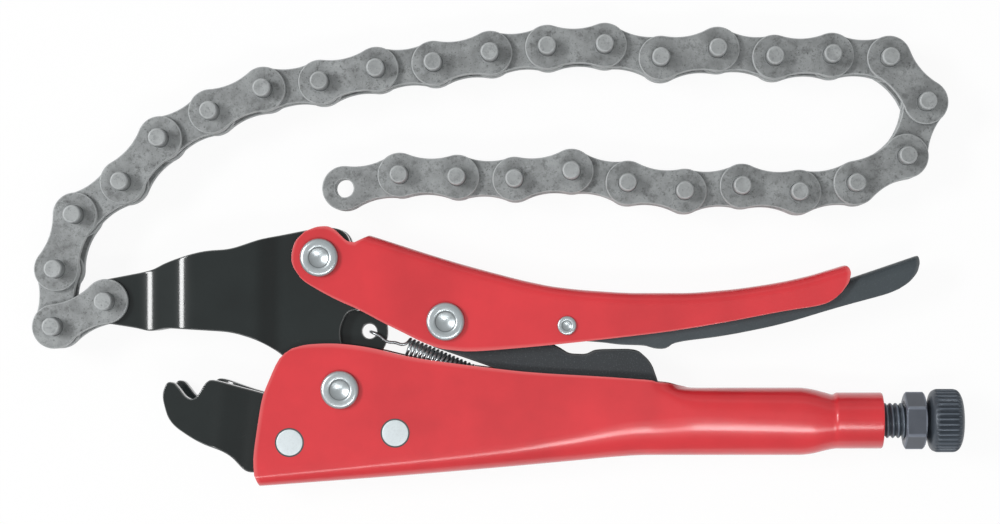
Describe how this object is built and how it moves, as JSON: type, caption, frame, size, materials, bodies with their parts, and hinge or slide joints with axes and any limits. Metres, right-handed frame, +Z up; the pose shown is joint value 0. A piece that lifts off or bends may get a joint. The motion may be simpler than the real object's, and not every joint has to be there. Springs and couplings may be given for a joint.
{
  "type": "locking chain pliers",
  "caption": "Locking pliers with folded handles, toggle link, release lever and adjusting screw, and a chain on the moving jaw that hooks into a forked jaw to grip round work.",
  "frame": {"origin": "centre of the bounding box's underside, on the bench that the tool lies on", "axes": "+X from the jaws to the adjusting knob, +Y from the lower handle to the chain, +Z up from the bench"},
  "size_m": [0.2578, 0.128, 0.0176],
  "materials": {
    "red_paint": "gloss",
    "black_plate": "gloss",
    "rivet_steel": "satin",
    "flat_rivet_steel": "satin",
    "inner_steel": "satin",
    "link_steel": "matte",
    "lever_steel": "satin",
    "spring_steel": "satin",
    "screw_black": "satin",
    "chain_steel": "matte"
  },
  "bodies": {
    "lower_handle": {"lower_handle": "red_paint", "fixed_jaw_front": "black_plate", "fixed_jaw_rear": "black_plate", "fixed_jaw_rivets": "flat_rivet_steel", "fixed_jaw_spacers": "inner_steel", "jaw_pivot_rivet": "rivet_steel", "spring_anchor_pin": "inner_steel", "return_spring": "spring_steel"},
    "moving_jaw": {"moving_jaw_front": "black_plate", "moving_jaw_rear": "black_plate", "jaw_pivot_spacer": "inner_steel", "handle_pivot_spacer": "inner_steel"},
    "upper_handle": {"upper_handle": "red_paint", "handle_pivot_rivet": "rivet_steel", "toggle_rivet": "rivet_steel", "lever_rivet": "rivet_steel"},
    "toggle_link": {"toggle_link": "link_steel"},
    "release_lever": {"release_lever": "lever_steel"},
    "lock_nut": {"lock_nut": "screw_black"},
    "adjusting_screw": {"adjusting_screw": "screw_black"},
    "chain_link_01": {"chain_outer_link_01": "chain_steel"},
    "chain_link_02": {"chain_inner_link_01": "chain_steel"},
    "chain_link_03": {"chain_outer_link_02": "chain_steel"},
    "chain_link_04": {"chain_inner_link_02": "chain_steel"},
    "chain_link_05": {"chain_outer_link_03": "chain_steel"},
    "chain_link_06": {"chain_inner_link_03": "chain_steel"},
    "chain_link_07": {"chain_outer_link_04": "chain_steel"},
    "chain_link_08": {"chain_inner_link_04": "chain_steel"},
    "chain_link_09": {"chain_outer_link_05": "chain_steel"},
    "chain_link_10": {"chain_inner_link_05": "chain_steel"},
    "chain_link_11": {"chain_outer_link_06": "chain_steel"},
    "chain_link_12": {"chain_inner_link_06": "chain_steel"},
    "chain_link_13": {"chain_outer_link_07": "chain_steel"},
    "chain_link_14": {"chain_inner_link_07": "chain_steel"},
    "chain_link_15": {"chain_outer_link_08": "chain_steel"},
    "chain_link_16": {"chain_inner_link_08": "chain_steel"},
    "chain_link_17": {"chain_outer_link_09": "chain_steel"},
    "chain_link_18": {"chain_inner_link_09": "chain_steel"},
    "chain_link_19": {"chain_outer_link_10": "chain_steel"},
    "chain_link_20": {"chain_inner_link_10": "chain_steel"},
    "chain_link_21": {"chain_outer_link_11": "chain_steel"},
    "chain_link_22": {"chain_inner_link_11": "chain_steel"},
    "chain_link_23": {"chain_outer_link_12": "chain_steel"},
    "chain_link_24": {"chain_inner_link_12": "chain_steel"},
    "chain_link_25": {"chain_outer_link_13": "chain_steel"},
    "chain_link_26": {"chain_inner_link_13": "chain_steel"},
    "chain_link_27": {"chain_outer_link_14": "chain_steel"},
    "chain_link_28": {"chain_inner_link_14": "chain_steel"},
    "chain_link_29": {"chain_outer_link_15": "chain_steel"},
    "chain_link_30": {"chain_inner_link_15": "chain_steel"}
  },
  "joints": [
    {"name": "handle_swing", "type": "hinge", "parent": "moving_jaw", "child": "upper_handle", "pos_m": [-0.04929, -0.00092, 0.0088], "axis": [0, 0, 1], "range_deg": [0, 42]},
    {"name": "jaw_swing", "type": "hinge", "parent": "lower_handle", "child": "moving_jaw", "pos_m": [-0.04359, -0.03732, 0.0088], "axis": [0, 0, 1], "range_deg": [-12.5, 0], "deforming": ["return_spring"]},
    {"name": "toggle_swing", "type": "hinge", "parent": "upper_handle", "child": "toggle_link", "pos_m": [-0.01449, -0.01852, 0.0088], "axis": [0, 0, 1], "range_deg": [-51.5, 0]},
    {"name": "release_press", "type": "hinge", "parent": "upper_handle", "child": "release_lever", "pos_m": [0.01891, -0.01962, 0.0088], "axis": [0, 0, 1], "range_deg": [-3, 0]},
    {"name": "screw_advance", "type": "slide", "parent": "lower_handle", "child": "lock_nut", "axis": [1, 0, 0], "range_m": [0, 0.012]},
    {"name": "screw_turn", "type": "hinge", "parent": "lock_nut", "child": "adjusting_screw", "pos_m": [0.10641, -0.04607, 0.0088], "axis": [1, 0, 0], "range_deg": [0, 2885]},
    {"name": "chain_hinge_01", "type": "hinge", "parent": "moving_jaw", "child": "chain_link_01", "pos_m": [-0.10849, -0.01292, 0.0088], "axis": [0, 0, 1], "range_deg": [0, 42]},
    {"name": "chain_hinge_02", "type": "hinge", "parent": "chain_link_01", "child": "chain_link_02", "pos_m": [-0.12276, -0.01988, 0.0088], "axis": [0, 0, 1], "range_deg": [-3, 28]},
    {"name": "chain_hinge_03", "type": "hinge", "parent": "chain_link_02", "child": "chain_link_03", "pos_m": [-0.1222, -0.00402, 0.0088], "axis": [0, 0, -1], "range_deg": [-28, 3]},
    {"name": "chain_hinge_04", "type": "hinge", "parent": "chain_link_03", "child": "chain_link_04", "pos_m": [-0.11704, 0.01099, 0.0088], "axis": [0, 0, 1], "range_deg": [-3, 28]},
    {"name": "chain_hinge_05", "type": "hinge", "parent": "chain_link_04", "child": "chain_link_05", "pos_m": [-0.10403, 0.0201, 0.0088], "axis": [0, 0, -1], "range_deg": [-28, 3]},
    {"name": "chain_hinge_06", "type": "hinge", "parent": "chain_link_05", "child": "chain_link_06", "pos_m": [-0.09362, 0.03208, 0.0088], "axis": [0, 0, 1], "range_deg": [-4, 28]},
    {"name": "chain_hinge_07", "type": "hinge", "parent": "chain_link_06", "child": "chain_link_07", "pos_m": [-0.0796, 0.03953, 0.0088], "axis": [0, 0, -1], "range_deg": [-28, 4]},
    {"name": "chain_hinge_08", "type": "hinge", "parent": "chain_link_07", "child": "chain_link_08", "pos_m": [-0.06499, 0.04574, 0.0088], "axis": [0, 0, 1], "range_deg": [-5, 24]},
    {"name": "chain_hinge_09", "type": "hinge", "parent": "chain_link_08", "child": "chain_link_09", "pos_m": [-0.04923, 0.04767, 0.0088], "axis": [0, 0, -1], "range_deg": [-20, 5]},
    {"name": "chain_hinge_10", "type": "hinge", "parent": "chain_link_09", "child": "chain_link_10", "pos_m": [-0.03376, 0.05124, 0.0088], "axis": [0, 0, 1], "range_deg": [-4, 12]},
    {"name": "chain_hinge_11", "type": "hinge", "parent": "chain_link_10", "child": "chain_link_11", "pos_m": [-0.01798, 0.0529, 0.0088], "axis": [0, 0, -1], "range_deg": [-10, 4]},
    {"name": "chain_hinge_12", "type": "hinge", "parent": "chain_link_11", "child": "chain_link_12", "pos_m": [-0.00234, 0.05566, 0.0088], "axis": [0, 0, 1], "range_deg": [-3, 8]},
    {"name": "chain_hinge_13", "type": "hinge", "parent": "chain_link_12", "child": "chain_link_13", "pos_m": [0.01345, 0.05732, 0.0088], "axis": [0, 0, -1], "range_deg": [-6, 3]},
    {"name": "chain_hinge_14", "type": "hinge", "parent": "chain_link_13", "child": "chain_link_14", "pos_m": [0.02931, 0.05787, 0.0088], "axis": [0, 0, 1], "range_deg": [-3, 4.5]},
    {"name": "chain_hinge_15", "type": "hinge", "parent": "chain_link_14", "child": "chain_link_15", "pos_m": [0.04478, 0.0543, 0.0088], "axis": [0, 0, -1], "range_deg": [-4, 3]},
    {"name": "chain_hinge_16", "type": "hinge", "parent": "chain_link_15", "child": "chain_link_16", "pos_m": [0.06046, 0.05678, 0.0088], "axis": [0, 0, 1], "range_deg": [-3, 3.5]},
    {"name": "chain_hinge_17", "type": "hinge", "parent": "chain_link_16", "child": "chain_link_17", "pos_m": [0.07618, 0.05457, 0.0088], "axis": [0, 0, -1], "range_deg": [-2.5, 3]},
    {"name": "chain_hinge_18", "type": "hinge", "parent": "chain_link_17", "child": "chain_link_18", "pos_m": [0.09205, 0.05513, 0.0088], "axis": [0, 0, 1], "range_deg": [-2.5, 2]},
    {"name": "chain_hinge_19", "type": "hinge", "parent": "chain_link_18", "child": "chain_link_19", "pos_m": [0.1079, 0.0543, 0.0088], "axis": [0, 0, -1], "range_deg": [-2, 2.5]},
    {"name": "chain_hinge_20", "type": "hinge", "parent": "chain_link_19", "child": "chain_link_20", "pos_m": [0.1181, 0.04214, 0.0088], "axis": [0, 0, 1], "range_deg": [-2.5, 1.5]},
    {"name": "chain_hinge_21", "type": "hinge", "parent": "chain_link_20", "child": "chain_link_21", "pos_m": [0.11267, 0.02722, 0.0088], "axis": [0, 0, -1], "range_deg": [-1.5, 2.5]},
    {"name": "chain_hinge_22", "type": "hinge", "parent": "chain_link_21", "child": "chain_link_22", "pos_m": [0.09866, 0.01977, 0.0088], "axis": [0, 0, 1], "range_deg": [-2.5, 1.5]},
    {"name": "chain_hinge_23", "type": "hinge", "parent": "chain_link_22", "child": "chain_link_23", "pos_m": [0.08298, 0.01728, 0.0088], "axis": [0, 0, -1], "range_deg": [-2, 3]},
    {"name": "chain_hinge_24", "type": "hinge", "parent": "chain_link_23", "child": "chain_link_24", "pos_m": [0.06719, 0.01894, 0.0088], "axis": [0, 0, 1], "range_deg": [-3, 2.5]},
    {"name": "chain_hinge_25", "type": "hinge", "parent": "chain_link_24", "child": "chain_link_25", "pos_m": [0.05137, 0.01756, 0.0088], "axis": [0, 0, -1], "range_deg": [-3, 3]},
    {"name": "chain_hinge_26", "type": "hinge", "parent": "chain_link_25", "child": "chain_link_26", "pos_m": [0.03565, 0.01977, 0.0088], "axis": [0, 0, 1], "range_deg": [-4, 3.5]},
    {"name": "chain_hinge_27", "type": "hinge", "parent": "chain_link_26", "child": "chain_link_27", "pos_m": [0.02013, 0.02307, 0.0088], "axis": [0, 0, -1], "range_deg": [-5, 4]},
    {"name": "chain_hinge_28", "type": "hinge", "parent": "chain_link_27", "child": "chain_link_28", "pos_m": [0.00441, 0.02086, 0.0088], "axis": [0, 0, 1], "range_deg": [-5, 6]},
    {"name": "chain_hinge_29", "type": "hinge", "parent": "chain_link_28", "child": "chain_link_29", "pos_m": [-0.01146, 0.02141, 0.0088], "axis": [0, 0, -1], "range_deg": [-11, 6]},
    {"name": "chain_hinge_30", "type": "hinge", "parent": "chain_link_29", "child": "chain_link_30", "pos_m": [-0.02732, 0.02197, 0.0088], "axis": [0, 0, 1], "range_deg": [-20, 25]}
  ],
  "couplings": [
    {"joint": "jaw_swing", "follows": "handle_swing", "ratio": -0.295},
    {"joint": "toggle_swing", "follows": "handle_swing", "ratio": -1.22},
    {"joint": "chain_hinge_01", "follows": "handle_swing", "ratio": 1},
    {"joint": "screw_turn", "follows": "screw_advance", "rad_per_m": 4188.8}
  ]
}
